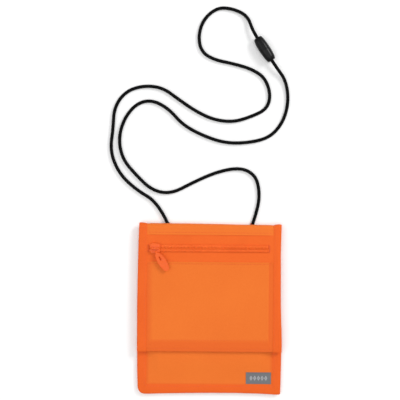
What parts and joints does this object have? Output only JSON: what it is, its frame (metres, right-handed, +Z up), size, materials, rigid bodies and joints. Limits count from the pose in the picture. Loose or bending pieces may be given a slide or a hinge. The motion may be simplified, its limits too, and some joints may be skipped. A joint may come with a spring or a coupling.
{
  "type": "neck pouch wallet",
  "caption": "Flat fabric neck pouch with bound edges, a fold-over front flap with a zip pocket, an open compartment behind it, and a neck cord with a breakaway clasp.",
  "frame": {"origin": "under the middle of the pouch, on the surface it lies on, its cord and clasp left out", "axes": "+X to the right across the pouch, +Y along it towards the top fold, +Z up out of its front face"},
  "size_m": [0.1655, 0.3552, 0.0122],
  "materials": {
    "shell_nylon": "plain-woven nylon with a light coating, orange",
    "lining_fabric": "thin woven lining, orange",
    "binding_tape": "ribbed binding tape, folded over the raw edges, reddish orange",
    "hook_loop": "hook-and-loop strip, orange",
    "zip_tape": "woven zip tape, reddish orange",
    "zip_coil": "nylon coil, orange",
    "lacquered_metal": "die-cast zinc lacquered orange",
    "woven_label": "woven label, grey with a lighter pattern",
    "thread": "sewing thread, orange",
    "braided_cord": "round braided polyester cord, black",
    "clasp_plastic": "moulded acetal, glossy black"
  },
  "bodies": {
    "root": {"back_panel": "shell_nylon", "back_lining": "lining_fabric", "front_panel": "shell_nylon", "body_binding": "binding_tape", "loop_strip": "hook_loop", "woven_label": "woven_label", "left_cord_tail": "braided_cord", "right_cord_tail": "braided_cord", "cord_bartacks": "thread", "top_fold": "shell_nylon", "left_fold_binding": "binding_tape", "right_fold_binding": "binding_tape", "left_strand": "braided_cord", "left_strand_end": "braided_cord", "right_strand": "braided_cord", "clasp_socket": "clasp_plastic", "right_cord_knot": "braided_cord"},
    "flap": {"flap_top_strip": "shell_nylon", "flap_panel": "shell_nylon", "flap_lining": "lining_fabric", "flap_left_binding": "binding_tape", "flap_right_binding": "binding_tape", "hook_strip": "hook_loop", "zip_tape_upper": "zip_tape", "zip_tape_lower": "zip_tape", "zip_coil_upper": "zip_coil", "zip_coil_lower": "zip_coil", "zip_bartacks": "thread"},
    "slider": {"slider_body": "lacquered_metal", "slider_crown": "lacquered_metal"},
    "link": {"puller_link": "lacquered_metal"},
    "pull": {"pull_tab": "lacquered_metal"},
    "clasp_half": {"clasp_plug": "clasp_plastic", "left_cord_knot": "braided_cord"}
  },
  "joints": [
    {"name": "flap_open", "type": "hinge", "parent": "root", "child": "flap", "pos_m": [0, 0.077, 0.0079], "axis": [1, 0, 0], "range_deg": [-180, 0], "deforming": ["top_fold", "left_fold_binding", "right_fold_binding"]},
    {"name": "zip_slide", "type": "slide", "parent": "flap", "child": "slider", "axis": [1, 0, 0], "range_m": [0, 0.0988]},
    {"name": "puller_swing", "type": "hinge", "parent": "slider", "child": "link", "pos_m": [-0.0519, 0.0548, 0.011], "axis": [0, 0, 1], "range_deg": [-33, 17]},
    {"name": "puller_lift", "type": "hinge", "parent": "link", "child": "pull", "pos_m": [-0.04972, 0.05144, 0.011], "axis": [-0.8387, -0.5446, 0], "range_deg": [0, 120]},
    {"name": "clasp_release", "type": "slide", "parent": "root", "child": "clasp_half", "axis": [-0.5505, 0.8348, 0], "range_m": [0, 0.008], "deforming": ["left_strand_end"]}
  ]
}
